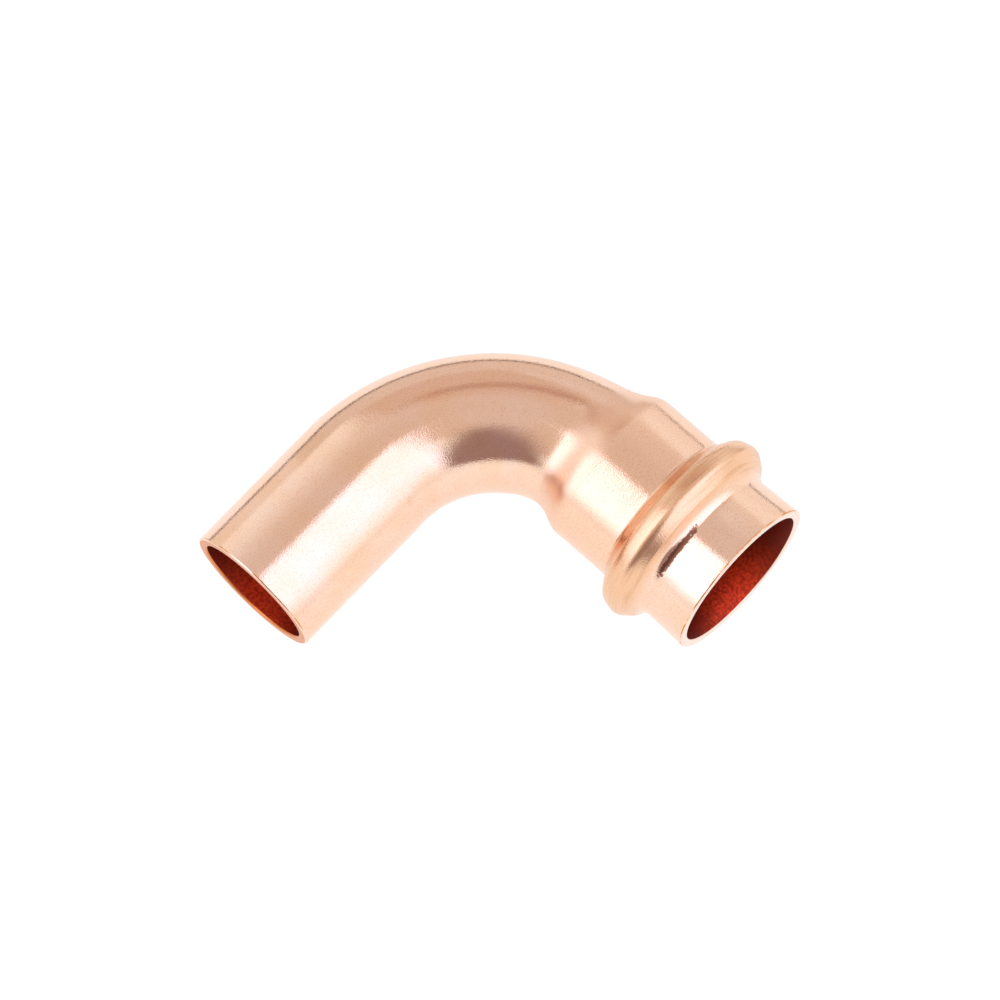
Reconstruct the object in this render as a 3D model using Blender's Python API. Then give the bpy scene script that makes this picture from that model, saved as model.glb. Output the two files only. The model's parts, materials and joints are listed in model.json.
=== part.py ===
# Press fit street elbow for 15 mm copper tube, lying at rest.
# One piece of formed copper tube: a plain end, a bend of 90 degrees and a socket with a rolled bead.
# A rubber ring lies in the groove inside the bead.
# Frame of the elbow: the two axes meet at its origin, the socket points to +X and the plain end to -Y.

import bisect
import math

import bpy
import numpy as np
from mathutils import Vector

MM = 0.001

# Centre line
BEND_RADIUS = 17.5 * MM
SOCKET_REACH = 35.4 * MM
PLAIN_REACH = 34.0 * MM

# Tube wall, as radii
TUBE_OUTER = 7.5 * MM
TUBE_INNER = 6.4 * MM
EDGE_ROUND = 0.2 * MM

# Socket wall, as radii
MOUTH_OUTER = 8.9 * MM
COLLAR_OUTER = 8.7 * MM
CUP_OUTER = 8.65 * MM
MOUTH_INNER = 7.75 * MM
COLLAR_INNER = 7.6 * MM
CUP_INNER = 7.55 * MM
GROOVE_FLOOR = 9.8 * MM

# Stations along the centre line, counted from the mouth
LEAD_IN = 2.0 * MM
BEAD_START = 5.2 * MM
BEAD_END = 10.55 * MM
FLARE_START = 18.1 * MM
FLARE_END = 20.5 * MM

# The bend squeezes the tube a little in its own plane
BEND_FLATTENING = 0.063
# The sections turn with the bend only gradually after the straight flare
TURN_IN_LENGTH = 13.0 * MM

# Sealing ring
RING_STATION = 8.12 * MM
RING_CENTRE_RADIUS = 8.42 * MM
RING_SECTION_RADIUS = 1.15 * MM

# Fineness
SIDES = 48
RING_SIDES = 12
BEND_SECTIONS = 16
ARC_STEP = math.radians(24.0)
CLOSE_STATIONS = 0.5 * MM

STRAIGHT_LENGTH = SOCKET_REACH - BEND_RADIUS
BEND_LENGTH = BEND_RADIUS * math.pi / 2
WHOLE_LENGTH = STRAIGHT_LENGTH + BEND_LENGTH + PLAIN_REACH - BEND_RADIUS


def clear_scene():
    for thing in list(bpy.data.objects):
        bpy.data.objects.remove(thing, do_unlink=True)


def smooth_step(value):
    t = min(max(value, 0.0), 1.0)
    return t * t * (3.0 - 2.0 * t)


# Corners of the wall's section, once round: station, radius and rounding of each.
def wall_corners():
    outside = [
        (0.0, MOUTH_OUTER, EDGE_ROUND),
        (BEAD_START, COLLAR_OUTER, 2.2 * MM),
        (7.65 * MM, 11.0 * MM, 1.15 * MM),
        (9.2 * MM, 10.6 * MM, 1.5 * MM),
        (BEAD_END, CUP_OUTER, 0.25 * MM),
        (FLARE_START, CUP_OUTER, 2.5 * MM),
        (FLARE_END, TUBE_OUTER, 2.9 * MM),
        (WHOLE_LENGTH, TUBE_OUTER, EDGE_ROUND),
    ]
    inside = [
        (WHOLE_LENGTH, TUBE_INNER, EDGE_ROUND),
        (FLARE_END - 0.2 * MM, TUBE_INNER, 2.0 * MM),
        (FLARE_START - 0.2 * MM, CUP_INNER, 1.6 * MM),
        (9.85 * MM, CUP_INNER, 0.5 * MM),
        (9.3 * MM, GROOVE_FLOOR, 1.1 * MM),
        (7.0 * MM, GROOVE_FLOOR, 1.1 * MM),
        (6.2 * MM, COLLAR_INNER, 0.6 * MM),
        (LEAD_IN, COLLAR_INNER, 10.0 * MM),
        (0.0, MOUTH_INNER, EDGE_ROUND),
    ]
    return outside + inside


# Each corner becomes an arc that is tangent to both of its sides.
def rounded(corners):
    points = []
    for index, (station, radius, rounding) in enumerate(corners):
        corner = Vector((station, radius))
        before = Vector(corners[index - 1][:2]) - corner
        after = Vector(corners[(index + 1) % len(corners)][:2]) - corner
        half = before.angle(after) / 2
        reach = rounding / math.tan(half)
        centre = corner + (before.normalized() + after.normalized()).normalized() * rounding / math.sin(half)
        start = corner + before.normalized() * reach - centre
        end = corner + after.normalized() * reach - centre
        turn = start.angle_signed(end)
        count = math.ceil(abs(turn) / ARC_STEP) + 1
        for step in range(count):
            angle = math.atan2(start.y, start.x) - turn * step / (count - 1)
            points.append(centre + rounding * Vector((math.cos(angle), math.sin(angle))))
    return points


# Long runs get one section for each of the bend's stations that they pass.
def with_bend_stations(points):
    stations = [STRAIGHT_LENGTH + BEND_LENGTH * k / BEND_SECTIONS for k in range(BEND_SECTIONS + 1)]
    result = []
    for index, point in enumerate(points):
        result.append(point)
        following = points[(index + 1) % len(points)]
        low = min(point.x, following.x) + CLOSE_STATIONS
        high = max(point.x, following.x) - CLOSE_STATIONS
        passed = stations[bisect.bisect_left(stations, low):bisect.bisect_right(stations, high)]
        if following.x < point.x:
            passed.reverse()
        for station in passed:
            share = (station - point.x) / (following.x - point.x)
            result.append(point.lerp(following, share))
    return result


# The middle of the section at a station, and the angle that the section has turned through.
def centre_line(station):
    past = station - STRAIGHT_LENGTH
    angle = min(max(past / BEND_RADIUS, 0.0), math.pi / 2)
    x = BEND_RADIUS * (1 - math.sin(angle)) + max(-past, 0.0)
    y = -BEND_RADIUS * (1 - math.cos(angle)) - max(past - BEND_LENGTH, 0.0)
    turned = angle * smooth_step((station - STRAIGHT_LENGTH) / TURN_IN_LENGTH)
    return Vector((x, y, 0.0)), turned


# One section of the body: an ellipse, a little narrower in the plane of the bend.
def section(station, radius):
    centre, turned = centre_line(station)
    along = min(max((station - STRAIGHT_LENGTH) / BEND_LENGTH, 0.0), 1.0)
    in_plane = radius * (1 - BEND_FLATTENING * math.sin(math.pi * along))
    sideways = Vector((-math.sin(turned), math.cos(turned), 0.0))
    upward = Vector((0.0, 0.0, 1.0))
    ring = []
    for side in range(SIDES):
        angle = 2 * math.pi * side / SIDES
        ring.append(centre + upward * radius * math.cos(angle) + sideways * in_plane * math.sin(angle))
    return ring


def metal(name, colour, roughness, metallic):
    material = bpy.data.materials.new(name)
    material.use_nodes = True
    shader = material.node_tree.nodes["Principled BSDF"]
    shader.inputs["Base Color"].default_value = (*colour, 1.0)
    shader.inputs["Roughness"].default_value = roughness
    shader.inputs["Metallic"].default_value = metallic
    return material


# The wall's closed section, carried along the centre line.
def make_body():
    profile = with_bend_stations(rounded(wall_corners()))
    vertices = []
    for point in profile:
        vertices.extend(section(point.x, point.y))
    faces = []
    for ring in range(len(profile)):
        here = ring * SIDES
        there = (ring + 1) % len(profile) * SIDES
        for side in range(SIDES):
            beside = (side + 1) % SIDES
            faces.append((here + side, here + beside, there + beside, there + side))
    mesh = bpy.data.meshes.new("elbow_body")
    mesh.from_pydata(vertices, [], faces)
    mesh.shade_smooth()
    mesh.set_sharp_from_angle(angle=math.radians(40.0))
    mesh.materials.append(metal("copper", (0.83, 0.50, 0.38), 0.25, 1.0))
    body = bpy.data.objects.new("elbow_body", mesh)
    bpy.context.collection.objects.link(body)
    return body


def make_sealing_ring():
    bpy.ops.mesh.primitive_torus_add(
        major_radius=RING_CENTRE_RADIUS,
        minor_radius=RING_SECTION_RADIUS,
        major_segments=SIDES,
        minor_segments=RING_SIDES,
    )
    ring = bpy.context.object
    ring.name = "sealing_ring"
    ring.data.name = "sealing_ring"
    ring.data.shade_smooth()
    ring.data.materials.append(metal("rubber", (0.02, 0.02, 0.021), 0.55, 0.0))
    ring.location = (SOCKET_REACH - RING_STATION, 0.0, 0.0)
    ring.rotation_euler = (0.0, math.pi / 2, 0.0)
    return ring


def mesh_points(thing):
    flat = np.empty(len(thing.data.vertices) * 3)
    thing.data.vertices.foreach_get("co", flat)
    return flat.reshape(-1, 3)


# Centre of mass, as the sum of the cones from the origin to each triangle.
def centre_of_mass(thing):
    thing.data.calc_loop_triangles()
    corners = np.array([triangle.vertices for triangle in thing.data.loop_triangles])
    a, b, c = np.moveaxis(mesh_points(thing)[corners], 1, 0)
    volumes = np.einsum("ij,ij->i", a, np.cross(b, c)) / 6
    return ((a + b + c) / 4 * volumes[:, None]).sum(axis=0) / volumes.sum()


# The upward direction that the elbow comes to rest with: its centre of mass is then lowest.
def resting_up(points, centre):
    def height(direction):
        unit = direction / np.linalg.norm(direction)
        return centre @ unit - (points @ unit).min()

    up = np.array([0.1, 0.0, 1.0])
    step = 0.02
    headings = np.radians(np.arange(0, 360, 10))
    while step > 0.00001:
        trials = [up + step * np.array([math.cos(h), math.sin(h), 0.0]) for h in headings]
        best = min(trials, key=height)
        if height(best) < height(up):
            up = best
        else:
            step /= 2
    return Vector(up).normalized()


# An empty lays the elbow down, with the middle of its footprint at the world's origin.
def lay_down(body, ring):
    points = mesh_points(body)
    turn = resting_up(points, centre_of_mass(body)).rotation_difference(Vector((0.0, 0.0, 1.0)))
    turned = points @ np.array(turn.to_matrix()).T
    low = turned.min(axis=0)
    high = turned.max(axis=0)
    frame = bpy.data.objects.new("resting_frame", None)
    bpy.context.collection.objects.link(frame)
    frame.rotation_mode = "QUATERNION"
    frame.rotation_quaternion = turn
    frame.location = (-(low[0] + high[0]) / 2, -(low[1] + high[1]) / 2, -low[2])
    body.parent = frame
    ring.parent = frame
    return frame


def main():
    clear_scene()
    body = make_body()
    ring = make_sealing_ring()
    lay_down(body, ring)


main()
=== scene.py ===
# A press fit street elbow of bright copper, for 15 mm tube, lying at rest on a pale floor
import json
import math

import bpy
import numpy as np
from mathutils import Matrix, Vector


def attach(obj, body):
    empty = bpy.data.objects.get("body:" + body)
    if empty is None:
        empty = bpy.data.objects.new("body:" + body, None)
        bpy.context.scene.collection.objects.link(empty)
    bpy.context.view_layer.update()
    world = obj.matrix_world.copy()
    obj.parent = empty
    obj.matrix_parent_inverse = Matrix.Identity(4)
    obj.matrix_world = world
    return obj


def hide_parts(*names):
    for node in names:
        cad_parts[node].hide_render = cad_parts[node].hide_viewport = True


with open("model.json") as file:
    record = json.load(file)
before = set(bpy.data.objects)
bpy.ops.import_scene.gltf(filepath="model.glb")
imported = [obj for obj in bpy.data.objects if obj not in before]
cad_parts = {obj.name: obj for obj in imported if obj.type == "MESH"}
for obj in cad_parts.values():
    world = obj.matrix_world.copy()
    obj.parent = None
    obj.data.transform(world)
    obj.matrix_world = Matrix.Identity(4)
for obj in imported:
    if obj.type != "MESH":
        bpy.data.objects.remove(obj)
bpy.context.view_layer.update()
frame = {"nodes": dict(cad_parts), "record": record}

mm = 0.001
print("stage: frame loaded")


# sRGB hex to the linear values that the shader takes
def toLinear(hexColour):
    parts = [int(hexColour[i:i + 2], 16) / 255 for i in (1, 3, 5)]
    linear = [p / 12.92 if p <= 0.04045 else ((p + 0.055) / 1.055) ** 2.4 for p in parts]
    return (*linear, 1.0)


# Adds one node, with its settings, socket values and links
def addNode(tree, kind, values=None, links=None, **settings):
    node = tree.nodes.new(kind)
    for name, setting in settings.items():
        setattr(node, name, setting)
    for socket, value in (values or {}).items():
        node.inputs[socket].default_value = value
    for socket, source in (links or {}).items():
        tree.links.new(source, node.inputs[socket])
    return node


def newMaterial(name):
    material = bpy.data.materials.new(name)
    material.use_nodes = True
    material.node_tree.nodes.clear()
    return material, material.node_tree


def smoothStep(value):
    t = np.clip(value, 0.0, 1.0)
    return t * t * (3 - 2 * t)


# A grid of points [rows, columns, 3] becomes a mesh of quads. Its rows and its columns may close up.
def gridMesh(name, points, closedRows=False, closedColumns=False):
    rows, columns = points.shape[:2]
    row = np.arange(rows if closedRows else rows - 1)[:, None]
    column = np.arange(columns if closedColumns else columns - 1)[None, :]
    nextRow = (row + 1) % rows
    nextColumn = (column + 1) % columns
    corners = [row * columns + column, row * columns + nextColumn,
               nextRow * columns + nextColumn, nextRow * columns + column]
    faces = np.stack(np.broadcast_arrays(*corners), axis=-1).reshape(-1, 4)
    mesh = bpy.data.meshes.new(name)
    mesh.vertices.add(rows * columns)
    mesh.vertices.foreach_set("co", points.reshape(-1).astype(np.float32))
    mesh.loops.add(faces.size)
    mesh.loops.foreach_set("vertex_index", faces.reshape(-1).astype(np.int32))
    mesh.polygons.add(len(faces))
    mesh.polygons.foreach_set("loop_start", np.arange(0, faces.size, 4, dtype=np.int32))
    mesh.update(calc_edges=True)
    mesh.shade_smooth()
    piece = bpy.data.objects.new(name, mesh)
    bpy.context.scene.collection.objects.link(piece)
    return piece


# Axes of the elbow: the two tube axes meet at its corner, the socket points to +X, the plain end
# to -Y, and +Z stands across the bend. Lengths in mm.
elbow = dict(
    bendRadius=17.5,
    socketReach=35.4,
    plainReach=34.0,
    bendFlattening=0.063,
    turnInLength=13.0,
)
straightLength = elbow["socketReach"] - elbow["bendRadius"]
bendLength = elbow["bendRadius"] * math.pi / 2
wholeLength = straightLength + bendLength + elbow["plainReach"] - elbow["bendRadius"]


# Corners of a rim's flat face lie within this depth of its outermost corner
rimDepth = 0.02 * mm


# The middle of the outermost rim along a direction: the mean of the corners in its flat face
def rimCentre(points, direction):
    along = points @ direction
    rim = np.unique(points[along > along.max() - rimDepth].round(6), axis=0)
    return rim.mean(axis=0)


def elbowFrame():
    body = frame["nodes"]["elbow_body"]
    points = np.empty(len(body.data.vertices) * 3)
    body.data.vertices.foreach_get("co", points)
    points = points.reshape(-1, 3)
    mounts = {mount["name"]: mount for mount in frame["record"]["mounts"]}
    socketAxis = np.array(mounts["socket_rim"]["axis"])
    plainAxis = np.array(mounts["plain_rim"]["axis"])
    mouth = rimCentre(points, socketAxis)
    corner = mouth - socketAxis * elbow["socketReach"] * mm
    across = np.cross(socketAxis, -plainAxis)
    axes = np.stack([socketAxis, -plainAxis, across / np.linalg.norm(across)])
    print("corner of the axes", corner.round(6), "plain end", rimCentre(points, plainAxis).round(6))
    return corner, axes


corner, axes = elbowFrame()


# From the elbow's frame in mm to the row's frame in metres
def toWorld(points):
    return corner + (points * mm) @ axes


# Camera at the photo's viewing angle, by the elbow's own axes, in mm and degrees
cameraLook = dict(
    target=(12.0516, -10.3434, 1.0156),
    azimuth=-39.595,
    elevation=71.451,
    roll=-7.709,
    distance=621.05,
    lens=222.13,
    sensor=36.0,
    clipStart=10.0,
)


def makeCamera():
    azimuth = math.radians(cameraLook["azimuth"])
    elevation = math.radians(cameraLook["elevation"])
    roll = math.radians(cameraLook["roll"])
    level = math.cos(elevation)
    back = np.array([level * math.cos(azimuth), level * math.sin(azimuth), math.sin(elevation)])
    levelRight = np.array([-math.sin(azimuth), math.cos(azimuth), 0.0])
    right = levelRight * math.cos(roll) + np.cross(back, levelRight) * math.sin(roll)
    place = toWorld(np.array(cameraLook["target"]) + back * cameraLook["distance"])
    turned = np.stack([right, np.cross(back, right), back]) @ axes
    camera = bpy.data.objects.new("camera", bpy.data.cameras.new("camera"))
    camera.data.lens = cameraLook["lens"]
    camera.data.sensor_width = cameraLook["sensor"]
    camera.data.clip_start = cameraLook["clipStart"] * mm
    camera.matrix_world = Matrix.Translation(place) @ Matrix(turned.T.tolist()).to_4x4()
    bpy.context.scene.collection.objects.link(camera)
    bpy.context.scene.camera = camera


makeCamera()
print("stage: camera placed")


# The wall's section: corners with station from the mouth, radius and rounding, all in mm. Outside, the
# socket's collar rises through a hollow fillet to a crease, the bead's crest and a steep cup side.
wall = dict(
    sides=192,
    spacing=0.4,
    arcStep=6.0,
    tubeOuter=7.5,
    tubeInner=6.4,
    plainEdge=0.2,
    mouthOuter=8.9,
    mouthOuterEdge=0.15,
    mouthInner=7.95,
    mouthInnerEdge=0.14,
    outside=[
        (5.35, 8.7, 1.3),
        (6.25, 10.0, 0.12),
        (7.5, 10.98, 1.2),
        (9.2, 10.6, 1.5),
        (10.55, 8.65, 0.55),
        (18.1, 8.65, 3.6),
        (20.5, 7.5, 5.4),
    ],
    inside=[
        (20.3, 6.4, 2.0),
        (17.9, 7.55, 1.6),
        (9.85, 7.55, 0.5),
        (9.3, 9.8, 1.1),
        (7.0, 9.8, 1.1),
        (6.2, 7.6, 0.6),
        (2.0, 7.6, 10.0),
    ],
    spans=dict(
        bead=(5.4, 0.8, 11.0, 0.6),
        cup=(10.4, 0.6, 21.5, 3.0),
        flare=(16.0, 2.0, 23.0, 2.5),
    ),
)
# places of the three finishes in the body's list of materials
bright, cut, annealed = 0, 1, 2


# Corners of the whole section once round, each with its finish on the arc and on the run after it
def wallCorners():
    corners = [(0.0, wall["mouthOuter"], wall["mouthOuterEdge"], bright, bright)]
    corners += [(*place, bright, bright) for place in wall["outside"]]
    corners += [(wholeLength, wall["tubeOuter"], wall["plainEdge"], bright, cut)]
    corners += [(wholeLength, wall["tubeInner"], wall["plainEdge"], cut, annealed)]
    corners += [(*place, annealed, annealed) for place in wall["inside"]]
    corners += [(0.0, wall["mouthInner"], wall["mouthInnerEdge"], cut, cut)]
    return corners


# Rounds each corner with an arc tangent to both sides, then fills the runs between the arcs with
# evenly spaced points. Returns stations, radii and the finish of the strip after each point.
def wallSection():
    corners = wallCorners()
    flat = np.array([corner[:2] for corner in corners])
    arcs = []
    for index, corner in enumerate(corners):
        rounding = corner[2]
        before = flat[index - 1] - flat[index]
        after = flat[(index + 1) % len(corners)] - flat[index]
        before = before / np.linalg.norm(before)
        after = after / np.linalg.norm(after)
        half = math.acos(np.clip(before @ after, -1, 1)) / 2
        middle = (before + after) / np.linalg.norm(before + after)
        centre = flat[index] + middle * rounding / math.sin(half)
        start = flat[index] + before * rounding / math.tan(half) - centre
        end = flat[index] + after * rounding / math.tan(half) - centre
        turn = math.atan2(start[0] * end[1] - start[1] * end[0], start @ end)
        steps = max(2, math.ceil(abs(math.degrees(turn)) / wall["arcStep"]))
        angle = math.atan2(start[1], start[0]) + turn * np.linspace(0, 1, steps + 1)
        arcs.append(centre + rounding * np.stack([np.cos(angle), np.sin(angle)], axis=1))
    points = []
    finishes = []
    for index, arc in enumerate(arcs):
        following = arcs[(index + 1) % len(arcs)][0]
        count = max(1, math.ceil(np.linalg.norm(following - arc[-1]) / wall["spacing"]))
        share = np.linspace(0, 1, count + 1)[1:-1, None]
        points.append(np.concatenate([arc, arc[-1] + (following - arc[-1]) * share]))
        arcFinish, runFinish = corners[index][3:]
        finishes += [arcFinish] * (len(arc) - 1) + [runFinish] * (len(share) + 1)
    points = np.concatenate(points)
    return points[:, 0], points[:, 1], np.array(finishes)


# The bend's path: straight along X, a quarter circle, then straight along -Y. Each section is an
# ellipse, narrower in the bend's plane by a sine that is nothing at both ends of the bend, and it
# turns with the path only gradually after the socket.
def carriedSurface(stations, radii, around):
    past = stations - straightLength
    angle = np.clip(past / elbow["bendRadius"], 0, math.pi / 2)
    x = elbow["bendRadius"] * (1 - np.sin(angle)) + np.maximum(-past, 0)
    y = -elbow["bendRadius"] * (1 - np.cos(angle)) - np.maximum(past - bendLength, 0)
    turned = angle * smoothStep(past / elbow["turnInLength"])
    along = np.clip(past / bendLength, 0, 1)
    inPlane = radii * (1 - elbow["bendFlattening"] * np.sin(math.pi * along))
    sideways = inPlane[:, None] * np.sin(around)
    return np.stack([
        x[:, None] - np.sin(turned)[:, None] * sideways,
        y[:, None] + np.cos(turned)[:, None] * sideways,
        radii[:, None] * np.cos(around),
    ], axis=-1)


# Shares of the rolled bead, the satin cup and the drawn-in flare at each station: 1 in their middle and
# smooth to 0 outside. Each span has its start, the length of its rise, its end and the length of its fall.
def formedShares(stations):
    shares = []
    for start, rise, end, fall in wall["spans"].values():
        shares.append(smoothStep((stations - start) / rise) * smoothStep((end - stations) / fall))
    return np.stack(shares, axis=-1)


def setVectors(piece, name, values):
    layer = piece.data.attributes.new(name, "FLOAT_VECTOR", "POINT")
    layer.data.foreach_set("vector", values.reshape(-1).astype(np.float32))


def makeElbowBody(finishMaterials):
    stations, radii, finishes = wallSection()
    around = 2 * math.pi * np.arange(wall["sides"]) / wall["sides"]
    piece = gridMesh("copper_elbow", toWorld(carriedSurface(stations, radii, around)), True, True)
    shape = (len(stations), wall["sides"])
    # the same skin with the bend straightened out, in mm, for patterns that follow the tube
    straightened = np.stack([
        radii[:, None] * np.cos(around),
        radii[:, None] * np.sin(around),
        np.broadcast_to(stations[:, None], shape),
    ], axis=-1)
    setVectors(piece, "straightened", straightened)
    setVectors(piece, "formed", np.broadcast_to(formedShares(stations)[:, None, :], (*shape, 3)))
    for material in finishMaterials:
        piece.data.materials.append(material)
    piece.data.polygons.foreach_set("material_index", np.repeat(finishes, wall["sides"]).astype(np.int32))
    piece.data.update()
    return piece


# Bumps of noise, one on the other, each with a size and a height in mm. Returns the last normal.
def addRelief(tree, coordinates, layers):
    normal = None
    for size, height, detail in layers:
        noise = addNode(tree, "ShaderNodeTexNoise", {"Scale": 1 / size, "Detail": detail},
                        {"Vector": coordinates})
        bump = addNode(tree, "ShaderNodeBump", {"Distance": height * mm}, {"Height": noise.outputs["Fac"]})
        if normal:
            tree.links.new(normal, bump.inputs["Normal"])
        normal = bump.outputs["Normal"]
    return normal


# Patches of noise of a size in mm: a share that rises from 0 to its top between two levels of the noise
def addPatches(tree, coordinates, size, detail, low, high, top=1.0):
    noise = addNode(tree, "ShaderNodeTexNoise", {"Scale": 1 / size, "Detail": detail},
                    {"Vector": coordinates})
    share = addNode(tree, "ShaderNodeMapRange", {"From Min": low, "From Max": high, "To Max": top},
                    {"Value": noise.outputs["Fac"]})
    return share.outputs[0]


# Bright drawn copper tube, pickled and tumbled after forming: a pink metal mirror that a fine grain
# and faint waves from the drawing die leave a little soft, with ragged edges to each reflection.
# The bead was worked harder, so it is more satin, more golden and lined. Cup and flare are satin too.
# The real grain is finer than a pixel, so the finest relief and the specks are drawn two pixels wide.
# Patterns are (size, detail, low level, high level), with sizes in mm.
brightCopper = dict(
    colour="#FAD3B6",
    paler="#FBD9C5",
    palerPatches=(5.0, 3.0, 0.35, 0.65),
    beadColour="#F4C8A4",
    cupColour="#FBD3B8",
    roughness=0.1,
    beadRoughness=0.24,
    cupRoughness=0.14,
    flareRoughness=0.3,
    grains=[(2.4, 0.014, 1.0), (0.8, 0.004, 1.0), (0.17, 0.011, 2.0)],
    specks=(0.15, 2.0, 0.5, 0.75),
    speckShare=0.45,
    speckColour="#D99C76",
    lineWidth=0.26,
    lineDetail=2.0,
    lineStretch=(0.05, 0.05, 1.0),
    lineHeight=0.007,
    lineLevels=(0.5, 0.72),
    lineShare=0.35,
    lineColour="#C9875C",
    # a painted reflection: a ragged dark streak painted into the hollow between collar and bead
    smearPlace=(4.95, 0.3),
    smearTurn=(-0.47, 0.34),
    smearGrain=0.35,
    smearDetail=4.0,
    smearRagged=0.5,
    smearColour="#A07262",
    breaks=(1.6, 3.0, 0.42, 0.58),
    # painted reflections: thin orange lines on the edge roundings of both ends, each at a station and width
    # in mm
    edgeLines=[(0.12, 0.06), (wholeLength - 0.15, 0.05)],
    edgeColour="#D98A4C",
)


# A ragged dark streak painted into the copper in the hollow between collar and bead, within a run of
# stations in mm
# and a turn in radians: a painted reflection that deepens the paler reflected streak there. The same noise
# shifts both of its limits.
def addSmear(tree, skin, x, y, station):
    ragged = addNode(tree, "ShaderNodeTexNoise",
                     {"Scale": 1 / brightCopper["smearGrain"], "Detail": brightCopper["smearDetail"]},
                     {"Vector": skin})
    around = addNode(tree, "ShaderNodeMath", links={0: y, 1: x}, operation="ARCTAN2")
    sides = []
    for value, limits in ((station, "smearPlace"), (around.outputs[0], "smearTurn")):
        middle, reach = brightCopper[limits]
        shifted = addNode(tree, "ShaderNodeMath", {1: brightCopper["smearRagged"]},
                          {0: ragged.outputs["Fac"], 2: value}, operation="MULTIPLY_ADD")
        inside = addNode(tree, "ShaderNodeMath",
                         {1: middle + brightCopper["smearRagged"] / 2, 2: reach},
                         {0: shifted.outputs[0]}, operation="COMPARE")
        sides.append(inside.outputs[0])
    return addNode(tree, "ShaderNodeMath", links=dict(enumerate(sides)), operation="MULTIPLY").outputs[0]


def makeBrightCopper():
    material, tree = newMaterial("bright_drawn_copper")
    skin = addNode(tree, "ShaderNodeAttribute", attribute_name="straightened").outputs["Vector"]
    formed = addNode(tree, "ShaderNodeAttribute", attribute_name="formed").outputs["Vector"]
    bead, cup, flare = addNode(tree, "ShaderNodeSeparateXYZ", links={0: formed}).outputs
    x, y, station = addNode(tree, "ShaderNodeSeparateXYZ", links={0: skin}).outputs
    # tool lines run round the bead, so their noise hardly changes around it
    turned = addNode(tree, "ShaderNodeMapping", {"Scale": brightCopper["lineStretch"]}, {"Vector": skin})
    lines = addNode(tree, "ShaderNodeTexNoise",
                    {"Scale": 1 / brightCopper["lineWidth"], "Detail": brightCopper["lineDetail"]},
                    {"Vector": turned.outputs["Vector"]})
    relief = addNode(tree, "ShaderNodeBump", {"Distance": brightCopper["lineHeight"] * mm},
                     {"Height": lines.outputs["Fac"], "Strength": bead,
                      "Normal": addRelief(tree, skin, brightCopper["grains"])})
    low, high = brightCopper["lineLevels"]
    drawn = addNode(tree, "ShaderNodeMapRange",
                    {"From Min": low, "From Max": high, "To Max": brightCopper["lineShare"]},
                    {"Value": lines.outputs["Fac"]})
    drawn = addNode(tree, "ShaderNodeMath", links={0: drawn.outputs[0], 1: bead}, operation="MULTIPLY")
    specks = addPatches(tree, skin, *brightCopper["specks"], top=brightCopper["speckShare"])
    layers = [
        ("beadColour", bead),
        ("cupColour", cup),
        ("lineColour", drawn.outputs[0]),
        ("speckColour", specks),
        # painted reflection: the dark streak in the hollow beside the bead
        ("smearColour", addSmear(tree, skin, x, y, station)),
    ]
    # painted reflections: thin broken orange lines painted along the edge roundings of both ends
    broken = addPatches(tree, skin, *brightCopper["breaks"])
    for place, width in brightCopper["edgeLines"]:
        near = addNode(tree, "ShaderNodeMath", {1: place, 2: width}, {0: station}, operation="COMPARE")
        shown = addNode(tree, "ShaderNodeMath", links={0: near.outputs[0], 1: broken}, operation="MULTIPLY")
        layers.append(("edgeColour", shown.outputs[0]))
    colour = addNode(tree, "ShaderNodeMix",
                     {"A": toLinear(brightCopper["colour"]), "B": toLinear(brightCopper["paler"])},
                     {"Factor": addPatches(tree, skin, *brightCopper["palerPatches"])}, data_type="RGBA")
    for name, share in layers:
        colour = addNode(tree, "ShaderNodeMix", {"B": toLinear(brightCopper[name])},
                         {"Factor": share, "A": colour.outputs["Result"]}, data_type="RGBA")
    rough = addNode(tree, "ShaderNodeMapRange",
                    {"To Min": brightCopper["roughness"], "To Max": brightCopper["beadRoughness"]},
                    {"Value": bead})
    for name, share in (("cupRoughness", cup), ("flareRoughness", flare)):
        rough = addNode(tree, "ShaderNodeMix", {"B": brightCopper[name]},
                        {"Factor": share, "A": rough.outputs[0]})
    shader = addNode(tree, "ShaderNodeBsdfPrincipled", {"Metallic": 1.0},
                     {"Base Color": colour.outputs["Result"], "Roughness": rough.outputs[0],
                      "Normal": relief.outputs["Normal"]})
    addNode(tree, "ShaderNodeOutputMaterial", links={"Surface": shader.outputs["BSDF"]})
    return material


# Cut and deburred copper: a pale satin face that catches the light
cutCopper = dict(
    colour="#FBE6DA",
    roughness=0.3,
    grains=[(0.5, 0.004, 2.0)],
    burrColour="#E08A50",
    burrStart=0.06,
    burrFull=0.14,
)


def makeCutCopper():
    material, tree = newMaterial("cut_copper_rim")
    skin = addNode(tree, "ShaderNodeAttribute", attribute_name="straightened").outputs["Vector"]
    station = addNode(tree, "ShaderNodeSeparateXYZ", links={0: skin}).outputs[2]
    # oxide creeps out of the bore onto the deburred edge of the mouth
    burr = addNode(tree, "ShaderNodeMapRange",
                   {"From Min": cutCopper["burrStart"], "From Max": cutCopper["burrFull"]},
                   {"Value": station})
    tint = addNode(tree, "ShaderNodeMix",
                   {"A": toLinear(cutCopper["colour"]), "B": toLinear(cutCopper["burrColour"])},
                   {"Factor": burr.outputs[0]}, data_type="RGBA")
    shader = addNode(tree, "ShaderNodeBsdfPrincipled",
                     {"Metallic": 1.0, "Roughness": cutCopper["roughness"]},
                     {"Base Color": tint.outputs["Result"],
                      "Normal": addRelief(tree, skin, cutCopper["grains"])})
    addNode(tree, "ShaderNodeOutputMaterial", links={"Surface": shader.outputs["BSDF"]})
    return material


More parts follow.
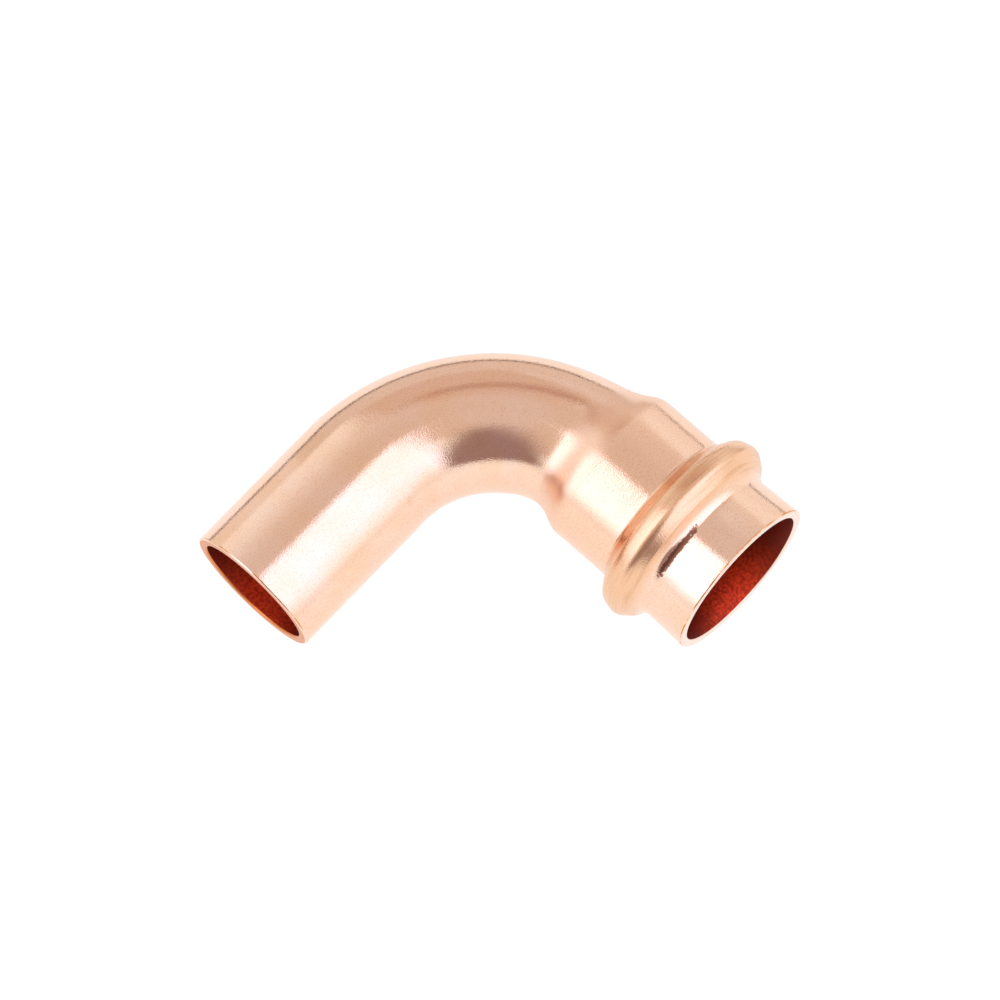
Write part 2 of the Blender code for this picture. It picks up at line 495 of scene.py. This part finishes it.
# Annealed copper inside the tube: a deep red skin of thin oxide, satin, finely mottled where it is
# thicker, with painted shade that turns it dark brown towards the bore's sides
annealedCopper = dict(
    colour="#DC3F1B",
    darker="#A62A12",
    mottle=(0.35, 4.0, 0.38, 0.62),
    # painted shade: the bore darkens to brown from this share of its radius out to its sides
    sideColour="#6E2210",
    sideStart=0.35,
    roughness=0.36,
    metallic=0.7,
    grains=[(1.6, 0.012, 2.0), (0.25, 0.012, 2.0)],
)


def makeAnnealedCopper():
    material, tree = newMaterial("annealed_copper_bore")
    skin = addNode(tree, "ShaderNodeAttribute", attribute_name="straightened").outputs["Vector"]
    tint = addNode(tree, "ShaderNodeMix",
                   {"A": toLinear(annealedCopper["darker"]), "B": toLinear(annealedCopper["colour"])},
                   {"Factor": addPatches(tree, skin, *annealedCopper["mottle"])}, data_type="RGBA")
    # painted shade: the colour turns dark brown towards the bore's sides
    across = addNode(tree, "ShaderNodeSeparateXYZ", links={0: skin}).outputs[1]
    aside = addNode(tree, "ShaderNodeMath", links={0: across}, operation="ABSOLUTE")
    browned = addNode(tree, "ShaderNodeMapRange",
                      {"From Min": annealedCopper["sideStart"] * wall["tubeInner"],
                       "From Max": wall["tubeInner"]}, {"Value": aside.outputs[0]})
    tint = addNode(tree, "ShaderNodeMix", {"B": toLinear(annealedCopper["sideColour"])},
                   {"Factor": browned.outputs[0], "A": tint.outputs["Result"]}, data_type="RGBA")
    shader = addNode(tree, "ShaderNodeBsdfPrincipled",
                     {"Metallic": annealedCopper["metallic"], "Roughness": annealedCopper["roughness"]},
                     {"Base Color": tint.outputs["Result"],
                      "Normal": addRelief(tree, skin, annealedCopper["grains"])})
    addNode(tree, "ShaderNodeOutputMaterial", links={"Surface": shader.outputs["BSDF"]})
    return material


bodyPiece = makeElbowBody([makeBrightCopper(), makeCutCopper(), makeAnnealedCopper()])
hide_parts("elbow_body")
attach(bodyPiece, "root")
print("stage: copper elbow", len(bodyPiece.data.polygons), "quads")


# The ring that seals the tube, in the groove inside the bead, in mm
sealingRing = dict(
    station=8.12,
    centreRadius=8.42,
    sectionRadius=1.15,
    sides=144,
    sectionSides=36,
    colour="#1B1B1C",
    roughness=0.5,
    grains=[(0.4, 0.006, 3.0)],
)


# Moulded EPDM rubber: near black and satin, with the mould's fine grain
def makeRubber():
    material, tree = newMaterial("epdm_rubber")
    place = addNode(tree, "ShaderNodeTexCoord")
    scaled = addNode(tree, "ShaderNodeMapping", {"Scale": (1 / mm, 1 / mm, 1 / mm)},
                     {"Vector": place.outputs["Object"]})
    shader = addNode(tree, "ShaderNodeBsdfPrincipled",
                     {"Metallic": 0.0, "Roughness": sealingRing["roughness"],
                      "Base Color": toLinear(sealingRing["colour"])},
                     {"Normal": addRelief(tree, scaled.outputs["Vector"], sealingRing["grains"])})
    addNode(tree, "ShaderNodeOutputMaterial", links={"Surface": shader.outputs["BSDF"]})
    return material


# A torus: a circle of the section's radius carried round a circle of the ring's radius
def makeSealingRing():
    around = 2 * math.pi * np.arange(sealingRing["sides"]) / sealingRing["sides"]
    section = -2 * math.pi * np.arange(sealingRing["sectionSides"]) / sealingRing["sectionSides"]
    stations = sealingRing["station"] + sealingRing["sectionRadius"] * np.sin(section)
    radii = sealingRing["centreRadius"] + sealingRing["sectionRadius"] * np.cos(section)
    piece = gridMesh("rubber_ring", toWorld(carriedSurface(stations, radii, around)), True, True)
    piece.data.materials.append(makeRubber())
    return piece


ringPiece = makeSealingRing()
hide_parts("sealing_ring")
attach(ringPiece, "root")
print("stage: sealing ring")


# The floor is white to the camera and to reflections, and keeps a share of the shadow
whiteFloor = dict(
    size=6.0,
    colour="#FFFFFF",
    seenShare=0.85,
    seenGlow=1.06,
    mirroredShare=0.75,
    mirroredGlow=0.98,
    mirroredColour="#FFFBF8",
)


def makeFloor():
    half = whiteFloor["size"] / 2
    corners = np.array([[(-half, -half, 0), (half, -half, 0)], [(-half, half, 0), (half, half, 0)]])
    floor = gridMesh("floor", corners)
    material, tree = newMaterial("white_floor")
    path = addNode(tree, "ShaderNodeLightPath")
    seen = path.outputs["Is Camera Ray"]
    mirrored = addNode(tree, "ShaderNodeMath",
                       links={0: path.outputs["Is Glossy Ray"], 1: path.outputs["Is Transmission Ray"]},
                       operation="MAXIMUM")
    share = addNode(tree, "ShaderNodeMath", {1: whiteFloor["mirroredShare"]}, {0: mirrored.outputs[0]},
                    operation="MULTIPLY")
    share = addNode(tree, "ShaderNodeMix", {"B": whiteFloor["seenShare"]},
                    {"Factor": seen, "A": share.outputs[0]})
    strength = addNode(tree, "ShaderNodeMapRange",
                       {"To Min": whiteFloor["mirroredGlow"], "To Max": whiteFloor["seenGlow"]},
                       {"Value": seen})
    tone = addNode(tree, "ShaderNodeMix",
                   {"A": toLinear(whiteFloor["mirroredColour"]), "B": toLinear(whiteFloor["colour"])},
                   {"Factor": seen}, data_type="RGBA")
    paint = addNode(tree, "ShaderNodeBsdfDiffuse", {"Color": toLinear(whiteFloor["colour"])})
    glow = addNode(tree, "ShaderNodeEmission",
                   links={"Color": tone.outputs["Result"], "Strength": strength.outputs[0]})
    mix = addNode(tree, "ShaderNodeMixShader",
                  links={0: share.outputs[0], 1: paint.outputs[0], 2: glow.outputs[0]})
    addNode(tree, "ShaderNodeOutputMaterial", links={"Surface": mix.outputs[0]})
    floor.data.materials.append(material)


def hideFromAllButReflections(piece):
    piece.visible_camera = False
    piece.visible_diffuse = False
    piece.visible_shadow = False
    piece.visible_transmission = False


# Cards that only reflections see. Each is stretched over two or more borders, given as points in
# degrees from overhead, towards +X and +Y. The soft shares are for the borders' first and last ends,
# then for the first and the last border. Tones are (place, colour, level), and the place is a share
# along the borders or an elevation in degrees. Later cards lie in front.
cards = [
    dict(name="tan_ceiling",
         borders=[[(-75, -60), (-50, -60), (-25, -60), (0, -60), (25, -60)],
                  [(-75, -8), (-50, -8), (-25, -8), (0, -8), (25, -8)],
                  [(-75, 43), (-50, 43), (-25, 43), (0, 43), (25, 43)]],
         soft=(0.55, 0.02, 0.02, 0.17), tonesBy="share", tones=[(0.0, "#E1D4CC", 1.0)]),
    dict(name="tan_strip",
         borders=[[(-22.8, 20), (-22.8, 36), (-22.8, 53), (-22.8, 70)],
                  [(0, 20), (0, 36), (0, 53), (0, 70)],
                  [(25, 20), (25, 36), (25, 53), (25, 70)]],
         soft=(0.02, 0.12, 0.02, 0.02), tonesBy="share",
         tones=[(0.0, "#E1D4CC", 1.0), (0.6, "#E3D6CE", 1.0), (1.0, "#EEE3DC", 1.0)]),
    dict(name="shaded_back",
         borders=[[(-25.5, 17.5), (-25.5, 50), (-25.5, 80), (-25.5, 105)],
                  [(-50, 16.5), (-49, 50), (-46, 78), (-38, 104)],
                  [(-75, 20), (-71, 54), (-62, 82), (-48, 106)],
                  [(-100, 21), (-89, 61), (-76, 88), (-57, 110)],
                  [(-125, 22), (-105, 68), (-88, 94), (-64, 114)]],
         soft=(0.03, 0.05, 0.01, 0.05), tonesBy="share",
         tones=[(0.0, "#DDC9BD", 1.0), (0.44, "#DDC9BD", 1.0), (0.5, "#E8E1DE", 1.0)]),
    dict(name="brown_band",
         borders=[[(-40, 18), (-33, 31), (-26, 40), (-22, 50)],
                  [(-54, 26), (-47, 39), (-39, 52), (-36, 58)]],
         soft=(0.15, 0.15, 0.5, 0.5), tonesBy="share", tones=[(0.0, "#C2A393", 1.0)]),
    dict(name="left_softbox",
         borders=[[(-18, -4), (-42, -7), (-72, -1)],
                  [(-15, -42), (-42, -45), (-68, -32)],
                  [(-7, -80), (-35, -88), (-60, -68)]],
         soft=(0.01, 0.15, 0.06, 0.32), tonesBy="share",
         tones=[(0.0, "#F0F0FF", 2.15), (0.5, "#EEEEFF", 2.0), (0.75, "#F4F2F8", 1.38),
                (1.0, "#FFFFFF", 1.05)]),
    dict(name="key_softbox",
         borders=[[(-4, 8), (6, 2.5), (15, -1.5), (31, -9.5), (51, -19), (88, -38)],
                  [(1.5, 20), (10, 17), (19, 13), (35, 8), (55, 0), (88, -12)],
                  [(3.5, 80), (15, 80), (28, 79), (46, 74), (66, 59), (85, 40)]],
         soft=(0.01, 0.15, 0.08, 0.15), tonesBy="elevation",
         tones=[(0, "#FFFFFF", 1.08), (5, "#FDFCFF", 1.12), (15, "#F4F4FD", 1.36), (25, "#EDEDFC", 1.59),
                (35, "#E8E7FB", 1.79), (45, "#E6E5FB", 1.92)]),
    dict(name="dark_gap",
         borders=[[(-6, -12), (25, -10.5), (52, -16), (78, -25)],
                  [(-9, -80), (12, -84), (41, -70), (63, -51)]],
         soft=(0.27, 0.08, 0.22, 0.1), tonesBy="share", tones=[(0.0, "#9F8987", 1.0)]),
]
# Distance of the first card and the step from card to card, in metres, and points along each side
cardPlace = dict(distance=0.5, step=0.01, points=97)


# Directions along a border, evenly shared between its points, then straight from border to border
def makeCard(card, distance):
    share = np.linspace(0, 1, cardPlace["points"])
    borders = []
    for border in card["borders"]:
        tilted = np.radians(np.array(border, float))
        lean = np.hypot(tilted[:, 0], tilted[:, 1])[:, None]
        toward = np.concatenate([tilted / lean * np.sin(lean), np.cos(lean)], axis=1)
        knots = np.linspace(0, 1, len(border))
        borders.append(np.stack([np.interp(share, knots, toward[:, k]) for k in range(3)], axis=-1))
    borders = np.array(borders)
    rung = share * (len(borders) - 1)
    low = np.minimum(rung.astype(int), len(borders) - 2)
    part = (rung - low)[:, None, None]
    points = borders[low] * (1 - part) + borders[low + 1] * part
    points /= np.linalg.norm(points, axis=-1, keepdims=True)
    piece = gridMesh(card["name"], points * distance)
    sides = [share[None, :], 1 - share[None, :], share[:, None], 1 - share[:, None]]
    shown = np.ones(points.shape[:2])
    for inward, soft in zip(sides, card["soft"]):
        shown = shown * smoothStep(inward / soft)
    place = np.degrees(np.arcsin(points[..., 2])) if card["tonesBy"] == "elevation" else share + 0 * shown
    starts, colours, levels = zip(*card["tones"])
    tones = np.array([toLinear(colour)[:3] for colour in colours]) * np.array(levels)[:, None]
    light = np.stack([np.interp(place, starts, tones[:, k]) for k in range(3)], axis=-1)
    setVectors(piece, "light", light)
    setVectors(piece, "shown", np.stack([shown] * 3, axis=-1))
    material, tree = newMaterial(card["name"])
    tone = addNode(tree, "ShaderNodeAttribute", attribute_name="light")
    cover = addNode(tree, "ShaderNodeAttribute", attribute_name="shown")
    clear = addNode(tree, "ShaderNodeBsdfTransparent")
    glow = addNode(tree, "ShaderNodeEmission", {"Strength": 1.0}, {"Color": tone.outputs["Vector"]})
    mix = addNode(tree, "ShaderNodeMixShader",
                  links={0: cover.outputs["Fac"], 1: clear.outputs[0], 2: glow.outputs[0]})
    addNode(tree, "ShaderNodeOutputMaterial", links={"Surface": mix.outputs[0]})
    piece.data.materials.append(material)
    hideFromAllButReflections(piece)


# A low wall that follows the outside of the elbow at some distance, with a dark line at its foot.
# It gives the tube the thin dark line that runs beside its outline. In mm.
backWall = dict(
    arcPoints=49,
    gap=20.0,
    socketGap=32.0,
    socketTurn=0.8,
    legRun=60.0,
    bottom=0.05,
    height=15.0,
    foot=2.3,
    socketEnd=30.0,
    shadeStart=7.0,
    footColour="#604439",
    shadeColour="#E5DAD3",
    socketColour="#FBF7F5",
    legColour="#F4EBE3",
)


def makeBackWall():
    angle = np.linspace(0, math.pi / 2, backWall["arcPoints"])
    nearer = smoothStep(angle / backWall["socketTurn"])
    gap = backWall["socketGap"] + (backWall["gap"] - backWall["socketGap"]) * nearer
    radius = elbow["bendRadius"] + wall["tubeOuter"] + gap
    arc = np.stack([elbow["bendRadius"] - radius * np.sin(angle),
                    radius * np.cos(angle) - elbow["bendRadius"]], axis=1)
    run = -elbow["plainReach"] - backWall["legRun"]
    path = np.concatenate([[[backWall["socketEnd"], arc[0, 1]]], arc, [[arc[-1, 0], run]]])
    flat = toWorld(np.concatenate([path, np.zeros((len(path), 1))], axis=1))
    heights = np.array([backWall["bottom"], backWall["foot"], backWall["height"]]) * mm
    points = np.stack([np.concatenate([flat[:, :2], np.full((len(flat), 1), h)], axis=1) for h in heights])
    piece = gridMesh("back_wall", points)
    for part in ("footColour", "shadeColour", "socketColour", "legColour"):
        material, tree = newMaterial("back_wall")
        glow = addNode(tree, "ShaderNodeEmission", {"Color": toLinear(backWall[part]), "Strength": 1.0})
        addNode(tree, "ShaderNodeOutputMaterial", links={"Surface": glow.outputs[0]})
        piece.data.materials.append(material)
    # materials in the order above: the foot all along, then shade, socket and leg above it
    upper = np.where(path[:-1, 0] > backWall["shadeStart"], 2, 1)
    upper[path[1:, 1] == run] = 3
    places = np.concatenate([upper * 0, upper]).astype(np.int32)
    piece.data.polygons.foreach_set("material_index", places)
    hideFromAllButReflections(piece)


# The world is a plain backdrop: white to the camera and to reflections, a little less to matt surfaces
backdrop = dict(seenLevel=1.0, mattLevel=0.9)


def makeWorld():
    world = bpy.data.worlds.new("studio")
    bpy.context.scene.world = world
    world.use_nodes = True
    tree = world.node_tree
    tree.nodes.clear()
    path = addNode(tree, "ShaderNodeLightPath")
    seen = addNode(tree, "ShaderNodeMath",
                   links={0: path.outputs["Is Camera Ray"], 1: path.outputs["Is Glossy Ray"]},
                   operation="MAXIMUM")
    level = addNode(tree, "ShaderNodeMapRange",
                    {"To Min": backdrop["mattLevel"], "To Max": backdrop["seenLevel"]},
                    {"Value": seen.outputs[0]})
    light = addNode(tree, "ShaderNodeBackground", {"Color": (1, 1, 1, 1)}, {"Strength": level.outputs[0]})
    addNode(tree, "ShaderNodeOutputWorld", links={"Surface": light.outputs[0]})


# One broad lamp that lays the soft shadow on the floor. Reflections see the cards in its place.
keyLamp = dict(azimuth=-60.0, elevation=55.0, distance=0.7, size=0.5, power=3.2)


def makeKeyLamp():
    azimuth = math.radians(keyLamp["azimuth"])
    elevation = math.radians(keyLamp["elevation"])
    level = math.cos(elevation)
    direction = Vector((level * math.cos(azimuth), level * math.sin(azimuth), math.sin(elevation)))
    lamp = bpy.data.objects.new("key_lamp", bpy.data.lights.new("key_lamp", "AREA"))
    lamp.data.shape = "SQUARE"
    lamp.data.size = keyLamp["size"]
    lamp.data.energy = keyLamp["power"]
    lamp.location = direction * keyLamp["distance"]
    lamp.rotation_euler = direction.to_track_quat("Z", "Y").to_euler()
    lamp.visible_camera = False
    lamp.visible_glossy = False
    bpy.context.scene.collection.objects.link(lamp)


makeFloor()
for order, card in enumerate(cards):
    makeCard(card, cardPlace["distance"] - cardPlace["step"] * order)
makeBackWall()
makeWorld()
makeKeyLamp()
bpy.context.scene.view_settings.view_transform = "Standard"
print("stage: studio")
